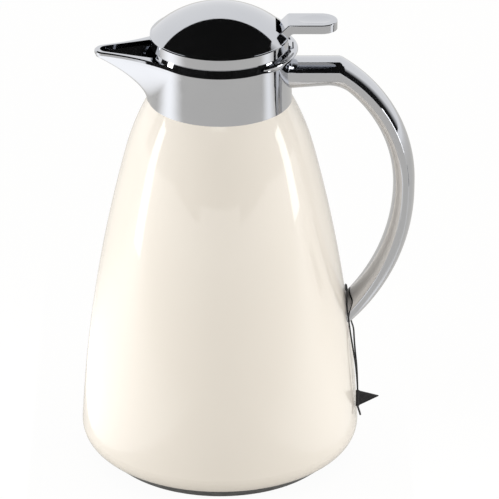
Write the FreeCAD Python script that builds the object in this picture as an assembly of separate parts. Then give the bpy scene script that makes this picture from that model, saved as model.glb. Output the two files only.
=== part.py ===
import FreeCAD, Part
import math
import os

# Thermal carafe with a glass vacuum liner, in millimetres.
# +Z is up, the origin is on the body's axis at the floor, the spout points along -X
# and the handle along +X.

# Body shell: widest radius low down, a long bowed side and a rounder shoulder
BODY_RADIUS = 72.5
BODY_WIDEST_Z = 17.0
SEAM_TUCK = 3.3
SEAM_Z = 9.0
SHOULDER_RADIUS = 48.1
SHOULDER_Z = 171.4
NECK_RADIUS = 36.6
NECK_Z = 199.7
SIDE_BULGE = 4.07
SHELL_WALL = 0.9
FLANGE_WIDTH = 4.0

# Base: tapered ring, screwed-in plug and rubber foot
BASE_TUCK = 8.7
BASE_EDGE = 1.2
SPIGOT_WALL = 2.4
SPIGOT_HEIGHT = 5.5
SNAP_BEAD = 0.6
BASE_GROOVE = 9.0
BASE_FLOOR = 3.2
PLUG_COLLAR_WALL = 2.6
PLUG_WALL = 2.4
PLUG_HEIGHT = 11.0
PLUG_FLOOR = 3.6
GRIP_RADIUS = 30.0
GRIP_BAR = 12.0
GRIP_DEPTH = 1.8
FOOT_PROUD = 0.8
FOOT_INSET = 3.0
FOOT_WIDTH = 5.6
FOOT_HEIGHT = 3.0

# Vacuum liner: two blown glasses joined at the lip
LINER_GAP = 8.0
LINER_LOW = 29.0
LINER_SHOULDER_DROP = 23.0
LINER_SHOULDER_HEIGHT = 45.0
LINER_FOOT_FULLNESS = 0.62
LINER_SIDE_FULLNESS = 0.6
LINER_SHOULDER_FULLNESS = 0.55
GLASS_WALL = 1.6
VACUUM_GAP = 4.4
LIP_RISE = 3.8
LIP_HEIGHT = 2.2
PIP_RADIUS = 3.0
PIP_LENGTH = 5.0
SPACER_RADIUS = 4.0
SPACER_COUNT = 3
SPACER_RISE = 22.0
CUSHION_UNDER = 11.6
CUSHION_RADIUS = 30.0
CUSHION_HOLE = 10.0
CUSHION_RIM = 7.0
GASKET_HEIGHT = 2.5

# Neck: ring, clamp nut and pouring funnel inside the collar
COLLAR_WALL = 3.5
NECK_RING_WALL = 3.6
NECK_RING_RISE = 4.8
SPIGOT_STEP = 1.6
NECK_SPIGOT = 9.5
LINER_NECK_GAP = 4.8
NUT_WIDTH = 4.0
NUT_HEIGHT = 6.0
NUT_SLOTS = 6
NUT_SLOT = 5.0
FUNNEL_FLANGE = 1.5
FUNNEL_WALL = 2.0
MOUTH_RADIUS = 19.4
MOUTH_HEIGHT = 2.6
LEDGE_RISE = 15.3
LEDGE_THICKNESS = 1.4
LEDGE_WIDTH = 2.0

# Collar: tapered wall, bevelled rim, spout and hinge lobe
COLLAR_HEIGHT = 25.1
COLLAR_TAPER = 1.2
RIM_HEIGHT = 3.8
RIM_BEVEL = 1.45
SPOUT_REACH = 63.4
SPOUT_TOE = 0.7
SPOUT_RIM_DROP = 2.1
SPOUT_LIP = 3.4
KEEL_SECTIONS = (0.0, 0.3, 0.55, 0.8, 1.0)
KEEL_LOW_RUN = 0.02
KEEL_LOW_RISE = 0.33
KEEL_HIGH_RUN = 0.5
KEEL_HIGH_RISE = 0.72
BLEND_RADIUS = 30.0
BLEND_GROWTH = 60.0
SPOUT_LIP_RADIUS = 5.0
SPOUT_TIP_RADIUS = 5.8
SPOUT_ROOT_RADIUS = 14.0
SPOUT_WALL = 1.7
SPOUT_TIP_WALL = 2.4
SPOUT_EDGE = 0.6
SPOUT_HALF_ANGLE = 19.0
SPOUT_FLOOR_START = 36.5
SPOUT_FLOOR_STEP = 0.4
LOBE_CENTRE = 6.0
LOBE_RADIUS = 33.4
LOBE_DROP = 0.3
LOBE_EDGE = 1.6
LOBE_TAPER = 4.2
LOBE_TAPER_HEIGHT = 4.9
LOBE_FULLNESS = 0.3
RIM_GROOVE = 1.2
BOSS_CENTRE = 28.8
BOSS_RADIUS = 10.0

# Hinge
HINGE_X = 34.5
HINGE_DROP = 1.1
PIN_RADIUS = 1.25
PIN_HALF_LENGTH = 6.4
KNUCKLE_RADIUS = 2.3
KNUCKLE_HALF = 4.0
KNUCKLE_SLOT = 7.8

# Lid
LID_GAP = 0.4
BAND_HEIGHT = 6.3
BAND_WALL = 2.0
BAND_EDGE = 0.8
LID_FLOOR = 2.2
DOME_INSET = 0.9
DOME_RISE = 14.1
DOME_WALL = 1.2
DOME_BOSS = 5.0
NOTCH_X = 28.0
STUD_RADIUS = 2.4
STUD_ABOVE = 9.0
STUD_BELOW = 14.0
STOPPER_TOP_RADIUS = 21.0
STOPPER_RADIUS = 17.2
STOPPER_WALL = 1.8
STOPPER_RIM = 4.0
STOPPER_CLEAR = 0.8
SEAL_HEIGHT = 2.6
SEAL_RISE = 1.9
SEAL_DEPTH = 2.0
SEAL_LIP = 1.2

# Thumb lever
LEVER_WIDTH = 16.8
LEVER_THICKNESS = 4.5
PADDLE_RISE = 7.1
PADDLE_START = 34.4
PADDLE_END = 59.1
TONGUE_THICKNESS = 3.0
TONGUE_START = 12.0
LEVER_DISH_LENGTH = 17.0
LEVER_DISH_WIDTH = 11.0
LEVER_DISH_DEPTH = 0.7
LEVER_DISH_SHIFT = 3.0
DISH_CUT = 0.75
LEVER_BEND = 2.0
LEVER_EDGE = 0.5
LEVER_SCREW_X = 24.8
LEVER_SCREW_Y = 5.0
LEVER_SCREW_RADIUS = 1.25
LEVER_SCREW_HEAD = 2.3
LEVER_SCREW_HEAD_HEIGHT = 1.6
LEVER_SCREW_SHORT = 0.5

# Handle: outer face in three flats, rounded inner side
HANDLE_WIDTH = 21.4
HANDLE_FLAT = 9.5
HANDLE_CROWN = 2.7
HANDLE_TOP_RISE = 21.6
HANDLE_ROOT_DEPTH = 15.8
HANDLE_GRIP_DEPTH = 11.0
HANDLE_REACH = 99.8
HANDLE_MID_Z = 151.0
HANDLE_STRAIGHT = 2.5
HANDLE_UPPER_RADIUS = 79.0
HANDLE_LOWER_RADIUS = 104.0
HANDLE_INNER_UPPER_RADIUS = 71.0
HANDLE_INNER_LOWER_RADIUS = 96.0
HANDLE_UNDERSIDE_SLOPE = 5.0
HANDLE_BURY = 10.5
HANDLE_OUTER_BEND = 4.5
HANDLE_INNER_BEND = 18.0
HANDLE_INNER_ROUND = 7.5
HANDLE_EDGE = 0.8
TOP_SCREW_DROP = 11.2
TOP_SCREW_Y = 4.2
SCREW_RADIUS = 1.6
SCREW_HEAD = 3.0
SCREW_HEAD_HEIGHT = 1.9
TOP_SCREW_LENGTH = 11.0
FOOT_SCREW_LENGTH = 8.5
FOOT_SCREW_LIFT = 6.5

# Tag: a small flag on a loop of string round the handle's foot
STRING_RADIUS = 0.45
STRING_CLEAR = 1.1
STRING_BESIDE = 1.2
STRING_BEND = 0.45
STRAND_HALF_GAP = 0.6
STRAND_JOIN = 11.5
STRAND_SPREAD = 23.5
TAG_DROP = 35.5
HEM_RADIUS = 1.0
HEM_HEIGHT = 8.9
FLAG_LENGTH = 11.0
FLAG_DROP = 3.0
FLAG_THICKNESS = 1.0
TAIL_LENGTH = 5.2
TAIL_LEAN = 1.6

# Clearances: between fitted pieces, of running pins, between pieces that move
FIT = 0.15
RUNNING = 0.06
AIR = 0.3

# Derived heights and radii
SEAM_RADIUS = BODY_RADIUS - SEAM_TUCK
FLANGE_HOLE = SEAM_RADIUS - FLANGE_WIDTH
PLUG_FLOOR_TOP = FOOT_PROUD + PLUG_FLOOR
LINER_BOTTOM = PLUG_FLOOR_TOP + CUSHION_UNDER
LIP_Z = NECK_Z + LIP_RISE
FUNNEL_BOTTOM = LIP_Z + GASKET_HEIGHT
COLLAR_BORE = NECK_RADIUS - COLLAR_WALL
NECK_RING_RADIUS = COLLAR_BORE - FIT
NECK_RING_BORE = NECK_RING_RADIUS - NECK_RING_WALL
NECK_SPIGOT_RADIUS = NECK_RING_RADIUS - SPIGOT_STEP
LINER_NECK_RADIUS = NECK_RING_BORE - LINER_NECK_GAP
LEDGE_Z = NECK_Z + LEDGE_RISE
LEDGE_TOP = LEDGE_Z + LEDGE_THICKNESS
BEVEL_Z = NECK_Z + COLLAR_HEIGHT
RIM_Z = BEVEL_Z + RIM_HEIGHT
COLLAR_TOP_RADIUS = NECK_RADIUS - COLLAR_TAPER
HANDLE_TOP_Z = NECK_Z + HANDLE_TOP_RISE
LOBE_TOP = RIM_Z - LOBE_DROP
LOBE_WIDEST_Z = LOBE_TOP - LOBE_EDGE
HINGE_Z = RIM_Z - HINGE_DROP
LID_Z = RIM_Z + LID_GAP
LID_FLOOR_TOP = LID_Z + LID_FLOOR
BAND_TOP = LID_Z + BAND_HEIGHT
LID_RADIUS = COLLAR_TOP_RADIUS
DOME_FOOT = LID_RADIUS - DOME_INSET
DOME_SPHERE = (DOME_FOOT**2 + DOME_RISE**2) / (2 * DOME_RISE)
DOME_CENTRE_Z = BAND_TOP + DOME_RISE - DOME_SPHERE
STOPPER_BOTTOM = FUNNEL_BOTTOM + STOPPER_CLEAR
SEAL_Z = STOPPER_BOTTOM + SEAL_RISE
PADDLE_TOP = BAND_TOP + PADDLE_RISE
TOP_SCREW_Z = HANDLE_TOP_Z - TOP_SCREW_DROP

ORIGIN = FreeCAD.Vector(0, 0, 0)
UP = FreeCAD.Vector(0, 0, 1)


def flat(r, z):
    """A point of a profile, at radius r and height z."""
    return FreeCAD.Vector(r, 0, z)


def line(start, end):
    return Part.LineSegment(start, end).toShape()


def arc(start, middle, end):
    return Part.Arc(start, middle, end).toShape()


def turned(edges):
    """A solid of revolution about the carafe's axis, from the edges of a closed profile."""
    return Part.Face(Part.Wire(Part.__sortEdges__(edges))).revolve(ORIGIN, UP, 360)


def turned_polygon(corners):
    corners = [flat(*corner) for corner in corners]
    return Part.Face(Part.makePolygon(corners + corners[:1])).revolve(ORIGIN, UP, 360)


def ring(inner, outer, bottom, top):
    return turned_polygon([(inner, bottom), (outer, bottom), (outer, top), (inner, top)])


def rod(radius, start, end):
    return Part.makeCylinder(radius, (end - start).Length, start, end - start)


def block(low, high):
    low = FreeCAD.Vector(*low)
    size = FreeCAD.Vector(*high) - low
    return Part.makeBox(size.x, size.y, size.z, low)


def side_normal(heading):
    """The outward normal of a profile that runs upwards along heading."""
    return FreeCAD.Vector(heading.z, 0, -heading.x)


def leaving_arc(start, heading, end):
    """The arc that leaves start along heading and ends at end, and its heading there."""
    chord = end - start
    along = chord / chord.Length
    across = heading - along * heading.dot(along)
    turn = math.atan2(across.Length, heading.dot(along))
    middle = (start + end) / 2 + across / across.Length * chord.Length / 2 * math.tan(turn / 2)
    return arc(start, middle, end), along * (2 * heading.dot(along)) - heading


# Body shell

WIDEST = flat(BODY_RADIUS, BODY_WIDEST_Z)
SHOULDER = flat(SHOULDER_RADIUS, SHOULDER_Z)
SIDE_CHORD = (SHOULDER - WIDEST).Length
SIDE_ALONG = (SHOULDER - WIDEST) / SIDE_CHORD
SIDE_TURN = 2 * math.atan(2 * SIDE_BULGE / SIDE_CHORD)
SIDE_RADIUS = SIDE_CHORD / 2 / math.sin(SIDE_TURN)
SIDE_START = SIDE_ALONG * math.cos(SIDE_TURN) + side_normal(SIDE_ALONG) * math.sin(SIDE_TURN)
SIDE_END = SIDE_ALONG * math.cos(SIDE_TURN) - side_normal(SIDE_ALONG) * math.sin(SIDE_TURN)
SIDE_CENTRE = WIDEST - side_normal(SIDE_START) * SIDE_RADIUS


def body_radius_at(z):
    """The radius of the body's bowed side at a height."""
    return SIDE_CENTRE.x + math.sqrt(SIDE_RADIUS**2 - (z - SIDE_CENTRE.z) ** 2)


def body_side(inset):
    """The profile from the seam to the neck, moved inwards: its edges, its two ends and its last heading."""
    widest = WIDEST - side_normal(SIDE_START) * inset
    shoulder = SHOULDER - side_normal(SIDE_END) * inset
    seam_heading = leaving_arc(WIDEST, SIDE_START * -1, flat(SEAM_RADIUS, SEAM_Z))[1] * -1
    neck_heading = leaving_arc(SHOULDER, SIDE_END, flat(NECK_RADIUS, NECK_Z))[1]
    seam = flat(SEAM_RADIUS, SEAM_Z) - side_normal(seam_heading) * inset
    neck = flat(NECK_RADIUS, NECK_Z) - side_normal(neck_heading) * inset
    corner = leaving_arc(widest, SIDE_START * -1, seam)[0]
    side = leaving_arc(widest, SIDE_START, shoulder)[0]
    top = leaving_arc(shoulder, SIDE_END, neck)[0]
    return [corner, side, top], seam, neck, neck_heading


def body_shell():
    outer, seam, neck, heading = body_side(0)
    inner, inner_seam, inner_neck, heading = body_side(SHELL_WALL)
    hole = NECK_SPIGOT_RADIUS + FIT
    under = flat(hole, NECK_Z - SHELL_WALL)
    inside = flat(FLANGE_HOLE, SEAM_Z + SHELL_WALL)
    slid = inner_neck - heading * ((inner_neck.z - under.z) / heading.z)
    inner[2] = leaving_arc(SHOULDER - side_normal(SIDE_END) * SHELL_WALL, SIDE_END, slid)[0]
    rim = [line(neck, flat(hole, NECK_Z)), line(flat(hole, NECK_Z), under), line(under, slid)]
    flange = [
        line(inner_seam, inside),
        line(inside, flat(FLANGE_HOLE, SEAM_Z)),
        line(flat(FLANGE_HOLE, SEAM_Z), seam),
    ]
    shell = turned(outer + rim + inner + flange)
    return shell.cut(foot_screw(FIT))


def body_solid(grown):
    """The whole space inside the body's outer skin, grown by a clearance."""
    edges, seam, neck, heading = body_side(-grown)
    top = flat(0, neck.z)
    bottom = flat(0, seam.z)
    return turned(edges + [line(neck, top), line(top, bottom), line(bottom, seam)])


# Base

SPIGOT_RADIUS = FLANGE_HOLE - FIT
BASE_BORE = SPIGOT_RADIUS - SPIGOT_WALL - BASE_GROOVE - PLUG_COLLAR_WALL
PLUG_RADIUS = BASE_BORE - FIT
FOOT_RADIUS = PLUG_RADIUS - FOOT_INSET


def base_ring():
    """Tapered ring that snaps into the shell's lower flange and carries the plug."""
    foot = SEAM_RADIUS - BASE_TUCK
    lower = turned_polygon(
        [
            (BASE_BORE, FOOT_PROUD),
            (foot - BASE_EDGE, FOOT_PROUD),
            (foot, FOOT_PROUD + BASE_EDGE / 2),
            (SEAM_RADIUS - FIT, SEAM_Z),
            (BASE_BORE, SEAM_Z),
        ]
    )
    flange_top = SEAM_Z + SHELL_WALL
    spigot = turned_polygon(
        [
            (SPIGOT_RADIUS - SPIGOT_WALL, SEAM_Z),
            (SPIGOT_RADIUS, SEAM_Z),
            (SPIGOT_RADIUS, flange_top + FIT),
            (SPIGOT_RADIUS + SNAP_BEAD, flange_top + FIT + SNAP_BEAD),
            (SPIGOT_RADIUS, flange_top + FIT + 2 * SNAP_BEAD),
            (SPIGOT_RADIUS, flange_top + SPIGOT_HEIGHT),
            (SPIGOT_RADIUS - SPIGOT_WALL, flange_top + SPIGOT_HEIGHT),
        ]
    )
    collar = ring(BASE_BORE, BASE_BORE + PLUG_COLLAR_WALL, FOOT_PROUD, FOOT_PROUD + PLUG_HEIGHT)
    groove = ring(
        BASE_BORE + PLUG_COLLAR_WALL,
        SPIGOT_RADIUS - SPIGOT_WALL,
        FOOT_PROUD + BASE_FLOOR,
        SEAM_Z + SHELL_WALL + SPIGOT_HEIGHT,
    )
    return lower.fuse([spigot, collar]).cut(groove).removeSplitter()


def base_plug():
    """Screw-in cover with two finger pockets; it presses the cushion against the liner."""
    cup = ring(0, PLUG_RADIUS, FOOT_PROUD, FOOT_PROUD + PLUG_HEIGHT)
    inside = ring(0, PLUG_RADIUS - PLUG_WALL, PLUG_FLOOR_TOP, FOOT_PROUD + PLUG_HEIGHT)
    locator = ring(
        CUSHION_RADIUS + FIT,
        CUSHION_RADIUS + FIT + PLUG_WALL,
        PLUG_FLOOR_TOP,
        PLUG_FLOOR_TOP + CUSHION_RIM / 2,
    )
    foot_groove = ring(FOOT_RADIUS - FOOT_WIDTH - FIT, FOOT_RADIUS + FIT, FOOT_PROUD, FOOT_HEIGHT)
    pockets = ring(0, GRIP_RADIUS, FOOT_PROUD, FOOT_PROUD + GRIP_DEPTH)
    bar = block(
        (-GRIP_RADIUS, -GRIP_BAR / 2, FOOT_PROUD),
        (GRIP_RADIUS, GRIP_BAR / 2, FOOT_PROUD + GRIP_DEPTH),
    )
    return cup.cut([inside, foot_groove, pockets.cut(bar)]).fuse(locator).removeSplitter()


def foot_ring():
    return ring(FOOT_RADIUS - FOOT_WIDTH, FOOT_RADIUS, 0, FOOT_HEIGHT)


# Vacuum liner

LINER_LOW_Z = LINER_BOTTOM + LINER_LOW
LINER_HIGH_Z = SHOULDER_Z - LINER_SHOULDER_DROP
LINER_NECK_Z = LINER_HIGH_Z + LINER_SHOULDER_HEIGHT
INNER_INSET = GLASS_WALL + VACUUM_GAP


def liner_side(inset, top):
    """The liner's profile from its axis up to a height on its neck, moved inwards."""
    foot = flat(0, LINER_BOTTOM + inset)
    low = flat(body_radius_at(LINER_LOW_Z) - LINER_GAP - inset, LINER_LOW_Z)
    high = flat(body_radius_at(LINER_HIGH_Z) - LINER_GAP - inset, LINER_HIGH_Z)
    neck = flat(LINER_NECK_RADIUS - inset, LINER_NECK_Z)
    side = (high - low) / (high - low).Length
    bottom = Part.BezierCurve()
    turn_in = low - side * (low.z - foot.z) * LINER_SIDE_FULLNESS
    bottom.setPoles([foot, flat(low.x * LINER_FOOT_FULLNESS, foot.z), turn_in, low])
    shoulder = Part.BezierCurve()
    reach = LINER_SHOULDER_HEIGHT * LINER_SHOULDER_FULLNESS
    shoulder.setPoles([high, high + side * reach, neck - UP * reach, neck])
    end = flat(neck.x, top)
    return [bottom.toShape(), line(low, high), shoulder.toShape(), line(neck, end)], foot, end


def liner_cup(outer_inset, inner_inset, outer_top, inner_top):
    outer, outer_foot, outer_end = liner_side(outer_inset, outer_top)
    inner, inner_foot, inner_end = liner_side(inner_inset, inner_top)
    lip = [line(outer_end, inner_end), line(inner_foot, outer_foot)]
    return turned(outer + inner + lip)


def liner_solid(grown, top):
    edges, foot, end = liner_side(-grown, top)
    axis_top = flat(0, top)
    return turned(edges + [line(end, axis_top), line(axis_top, foot)])


def liner_outer_glass():
    """Outer glass, with the drawn-off pip under its foot."""
    glass = liner_cup(0, GLASS_WALL, LIP_Z - LIP_HEIGHT, LIP_Z - LIP_HEIGHT)
    pip = Part.makeCone(
        PIP_RADIUS / 3, PIP_RADIUS, PIP_LENGTH + GLASS_WALL / 2, flat(0, LINER_BOTTOM - PIP_LENGTH)
    )
    return glass.fuse(pip)


def liner_inner_glass():
    """Inner glass that holds the drink; its lip closes the space over the outer one."""
    glass = liner_cup(INNER_INSET, INNER_INSET + GLASS_WALL, LIP_Z, LIP_Z)
    lip = ring(LINER_NECK_RADIUS - INNER_INSET - GLASS_WALL / 2, LINER_NECK_RADIUS, LIP_Z - LIP_HEIGHT, LIP_Z)
    return glass.fuse(lip).removeSplitter()


def liner_spacers():
    """Pads that hold the two glasses apart, spread round the lower side."""
    gap = liner_cup(GLASS_WALL + FIT, INNER_INSET - FIT, LIP_Z - LIP_HEIGHT, LIP_Z - LIP_HEIGHT)
    height = LINER_LOW_Z + SPACER_RISE
    pads = []
    for i in range(SPACER_COUNT):
        turn = math.radians(360 / SPACER_COUNT * (i + 0.5))
        out = FreeCAD.Vector(math.cos(turn), math.sin(turn), 0)
        pads.append(gap.common(rod(SPACER_RADIUS, UP * height, UP * height + out * BODY_RADIUS)))
    return Part.makeCompound(pads)


def liner_cushion():
    """Rubber seat between plug and liner, hollowed to the liner's foot, with room for the pip."""
    seat = ring(CUSHION_HOLE, CUSHION_RADIUS, PLUG_FLOOR_TOP, LINER_BOTTOM + CUSHION_RIM)
    return seat.cut(liner_solid(FIT, LIP_Z))


def neck_gasket():
    return ring(
        LINER_NECK_RADIUS - INNER_INSET - GLASS_WALL / 2, LINER_NECK_RADIUS, LIP_Z, FUNNEL_BOTTOM
    )


# Neck

def neck_ring():
    """Threaded ring that carries the collar; its spigot reaches through the shell's top edge."""
    upper = ring(NECK_RING_BORE, NECK_RING_RADIUS, NECK_Z, NECK_Z + NECK_RING_RISE)
    spigot = ring(NECK_RING_BORE, NECK_SPIGOT_RADIUS, NECK_Z - NECK_SPIGOT, NECK_Z)
    return upper.fuse(spigot).removeSplitter()


def clamp_nut():
    """Slotted nut that pulls the neck ring down onto the shell from inside."""
    top = NECK_Z - SHELL_WALL
    bore = NECK_SPIGOT_RADIUS + FIT
    nut = ring(bore, bore + NUT_WIDTH, top - NUT_HEIGHT, top)
    for i in range(NUT_SLOTS):
        slot = block(
            (bore + NUT_WIDTH / 2, -NUT_SLOT / 2, top - NUT_HEIGHT),
            (bore + 2 * NUT_WIDTH, NUT_SLOT / 2, top - NUT_HEIGHT / 2),
        )
        slot.rotate(ORIGIN, UP, 360 / NUT_SLOTS * i)
        nut = nut.cut(slot)
    return nut


def pour_funnel():
    """Funnel from the liner's mouth to the ledge under the rim; the liner presses it upwards."""
    flange = COLLAR_BORE - FIT
    inner = COLLAR_BORE - LEDGE_WIDTH
    return turned_polygon(
        [
            (MOUTH_RADIUS, FUNNEL_BOTTOM),
            (LINER_NECK_RADIUS, FUNNEL_BOTTOM),
            (LINER_NECK_RADIUS, FUNNEL_BOTTOM + FUNNEL_WALL),
            (inner - FUNNEL_WALL, LEDGE_Z - FUNNEL_FLANGE),
            (flange, LEDGE_Z - FUNNEL_FLANGE),
            (flange, LEDGE_Z),
            (inner, LEDGE_Z),
            (MOUTH_RADIUS, FUNNEL_BOTTOM + MOUTH_HEIGHT),
        ]
    )


# Collar

SPOUT_RIM_Z = RIM_Z - SPOUT_RIM_DROP
SPOUT_LIP_Z = SPOUT_RIM_Z - SPOUT_LIP


def collar_radius_at(z):
    """The collar's outer radius: tapered wall, then the bevel of the rim."""
    if z <= BEVEL_Z:
        return NECK_RADIUS - COLLAR_TAPER * (z - NECK_Z) / COLLAR_HEIGHT
    return COLLAR_TOP_RADIUS - RIM_BEVEL * (z - BEVEL_Z) / RIM_HEIGHT


def spout_keel():
    """The curve under the spout, from the foot of the collar out to the lip."""
    root = NECK_RADIUS + SPOUT_TOE
    rise = SPOUT_LIP_Z - NECK_Z
    run = SPOUT_REACH - root
    keel = Part.BezierCurve()
    keel.setPoles(
        [
            flat(root, NECK_Z),
            flat(root + run * KEEL_LOW_RUN, NECK_Z + rise * KEEL_LOW_RISE),
            flat(root + run * KEEL_HIGH_RUN, NECK_Z + rise * KEEL_HIGH_RISE),
            flat(SPOUT_REACH - SPOUT_TOE, SPOUT_LIP_Z),
        ]
    )
    return keel


def collar_section(z, tip, nose, hollow):
    """The collar's outline at one height: main circle, spout tip and the hollow blends between them."""
    main = collar_radius_at(z)
    nose_x = tip - nose
    far = hollow + main
    near = hollow + nose
    cos_turn = (far**2 + nose_x**2 - near**2) / (2 * far * nose_x)
    turn = math.acos(cos_turn)
    hub = FreeCAD.Vector(-far * cos_turn, far * math.sin(turn), z)
    nose_hub = FreeCAD.Vector(-nose_x, 0, z)
    axis = FreeCAD.Vector(0, 0, z)
    on_main = axis + (hub - axis) * (main / far)
    on_nose = nose_hub + (hub - nose_hub) * (nose / near)
    inward = (on_main + on_nose) / 2 - hub
    on_hollow = hub + inward / inward.Length * hollow
    mirror = [FreeCAD.Vector(p.x, -p.y, p.z) for p in (on_nose, on_hollow, on_main)]
    return Part.Wire(
        [
            arc(on_nose, FreeCAD.Vector(-tip, 0, z), mirror[0]),
            arc(mirror[0], mirror[1], mirror[2]),
            arc(mirror[2], FreeCAD.Vector(main, 0, z), on_main),
            arc(on_main, on_hollow, on_nose),
        ]
    )


def trough_section(z, tip):
    """The wedge-shaped outline of the spout's channel at one height, open into the mouth."""
    nose = SPOUT_TIP_RADIUS - SPOUT_WALL
    slope = math.radians(SPOUT_HALF_ANGLE)
    hub = nose - tip
    back = -COLLAR_BORE / 2
    touch = FreeCAD.Vector(hub - nose * math.sin(slope), nose * math.cos(slope), z)
    corner = FreeCAD.Vector(back, touch.y + (back - touch.x) * math.tan(slope), z)
    touch_2 = FreeCAD.Vector(touch.x, -touch.y, z)
    corner_2 = FreeCAD.Vector(back, -corner.y, z)
    return Part.Wire(
        [
            arc(touch, FreeCAD.Vector(-tip, 0, z), touch_2),
            line(touch_2, corner_2),
            line(corner_2, corner),
            line(corner, touch),
        ]
    )


def collar_outside():
    """The collar's solid outer form, with the spout faired into its wall."""
    keel = spout_keel()
    sections = []
    for share in KEEL_SECTIONS:
        at = keel.value(share)
        nose = SPOUT_LIP_RADIUS + SPOUT_ROOT_RADIUS * (1 - share) ** 2
        sections.append(collar_section(at.z, at.x, nose, BLEND_RADIUS + BLEND_GROWTH * share**2))
    hollow = BLEND_RADIUS + BLEND_GROWTH
    lip = collar_section(BEVEL_Z, SPOUT_REACH, SPOUT_TIP_RADIUS, hollow)
    edge = collar_section(SPOUT_RIM_Z - SPOUT_EDGE, SPOUT_REACH, SPOUT_TIP_RADIUS, hollow)
    rim = collar_section(
        SPOUT_RIM_Z, SPOUT_REACH - SPOUT_EDGE, SPOUT_TIP_RADIUS - SPOUT_EDGE, hollow + SPOUT_EDGE
    )
    beak = Part.makeLoft(sections, True, False)
    top = Part.makeCone(
        collar_radius_at(SPOUT_RIM_Z), collar_radius_at(RIM_Z), RIM_Z - SPOUT_RIM_Z, UP * SPOUT_RIM_Z
    )
    under_lip = Part.makeLoft([sections[-1], lip], True, True)
    over_lip = Part.makeLoft([lip, edge, rim], True, True)
    return beak.fuse([under_lip, over_lip, top])


def hinge_lobe():
    """Crescent lip behind the rim, tapering down into the wall; a groove parts it from the rim
    but for the boss in the middle that holds the hinge."""
    foot = flat(LOBE_RADIUS - LOBE_TAPER, LOBE_WIDEST_Z - LOBE_TAPER_HEIGHT)
    widest = flat(LOBE_RADIUS, LOBE_WIDEST_Z)
    swell = side_normal((widest - foot) / (widest - foot).Length)
    edge = flat(LOBE_RADIUS - LOBE_EDGE, LOBE_TOP)
    round_edge = flat(edge.x, widest.z) + (flat(1, 1) / math.sqrt(2)) * LOBE_EDGE
    top = flat(0, LOBE_TOP)
    bottom = flat(0, foot.z)
    lobe = turned(
        [
            line(bottom, foot),
            arc(foot, (foot + widest) / 2 + swell * LOBE_FULLNESS, widest),
            arc(widest, round_edge, edge),
            line(edge, top),
            line(top, bottom),
        ]
    )
    lobe.translate(FreeCAD.Vector(LOBE_CENTRE, 0, 0))
    boss = lobe.common(rod(BOSS_RADIUS, flat(BOSS_CENTRE, BEVEL_Z), flat(BOSS_CENTRE, LOBE_TOP)))
    return lobe.cut(ring(0, COLLAR_TOP_RADIUS + RIM_GROOVE, BEVEL_Z, LOBE_TOP)).fuse(boss)


def knuckle_room():
    """The slot in the lobe in which the lid's knuckle turns."""
    half = KNUCKLE_HALF + AIR
    reach = KNUCKLE_RADIUS + AIR
    above = block((HINGE_X - KNUCKLE_SLOT, -half, HINGE_Z), (HINGE_X + reach, half, LID_FLOOR_TOP))
    return pin_along_hinge(reach, half).fuse(above)


def pin_along_hinge(radius, half_length):
    hinge = FreeCAD.Vector(HINGE_X, 0, HINGE_Z)
    across = FreeCAD.Vector(0, half_length, 0)
    return rod(radius, hinge - across, hinge + across)


def collar():
    """Chrome collar: spout, rim, ledge for the funnel, and the lobe that carries the hinge pin."""
    inside = ring(0, COLLAR_BORE, NECK_Z, LEDGE_Z)
    inside = inside.fuse(ring(0, COLLAR_BORE - LEDGE_WIDTH, LEDGE_Z, LEDGE_TOP))
    inside = inside.fuse(ring(0, COLLAR_BORE, LEDGE_TOP, RIM_Z))
    floor_z = LEDGE_TOP + SPOUT_FLOOR_STEP
    lip_tip = SPOUT_REACH - SPOUT_TIP_WALL
    trough = Part.makeLoft(
        [
            trough_section(floor_z, SPOUT_FLOOR_START),
            trough_section(SPOUT_LIP_Z + SPOUT_WALL / 2, lip_tip - SPOUT_WALL / 2),
            trough_section(RIM_Z, lip_tip),
        ],
        True,
        True,
    )
    body = collar_outside().fuse(hinge_lobe())
    cuts = [inside, trough, knuckle_room(), pin_along_hinge(PIN_RADIUS + RUNNING / 2, BOSS_RADIUS)]
    return body.cut(cuts + [top_screws(FIT)]).removeSplitter()


def hinge_pin():
    return pin_along_hinge(PIN_RADIUS, PIN_HALF_LENGTH)


# Handle

def loop_line(reach, upper, lower, straight, top, slope, bend):
    """One long side of the handle, from its root at the collar to its foot inside the body."""
    upper_hub = flat(reach - upper, HANDLE_MID_Z + straight)
    lower_hub = flat(reach - lower, HANDLE_MID_Z - straight)
    root = flat(COLLAR_BORE, top)
    heading = flat(math.cos(slope), math.sin(slope))
    # The bend is tangent to the straight top and to the upper arc, inside both
    over = flat(-heading.z, heading.x)
    offset = root - over * bend - upper_hub
    along = offset.dot(heading)
    run = math.sqrt(along**2 - offset.dot(offset) + (upper - bend) ** 2) - along
    hub = upper_hub + offset + heading * run
    out = (hub - upper_hub) / (hub - upper_hub).Length
    bend_start = hub + over * bend
    bend_end = hub + out * bend
    bend_middle = hub + (over + out) / (over + out).Length * bend
    foot_x = BODY_RADIUS - HANDLE_BURY
    foot = flat(foot_x, lower_hub.z - math.sqrt(lower**2 - (foot_x - lower_hub.x) ** 2))
    upper_end = flat(reach, upper_hub.z)
    lower_end = flat(reach, lower_hub.z)
    level = FreeCAD.Vector(1, 0, 0)
    down = (foot - lower_hub) / lower + level
    edges = [
        line(root, bend_start),
        arc(bend_start, bend_middle, bend_end),
        arc(bend_end, upper_hub + (out + level) / (out + level).Length * upper, upper_end),
        arc(lower_end, lower_hub + down / down.Length * lower, foot),
    ]
    if straight > 0:
        edges.append(line(upper_end, lower_end))
    return edges, root, foot


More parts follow.
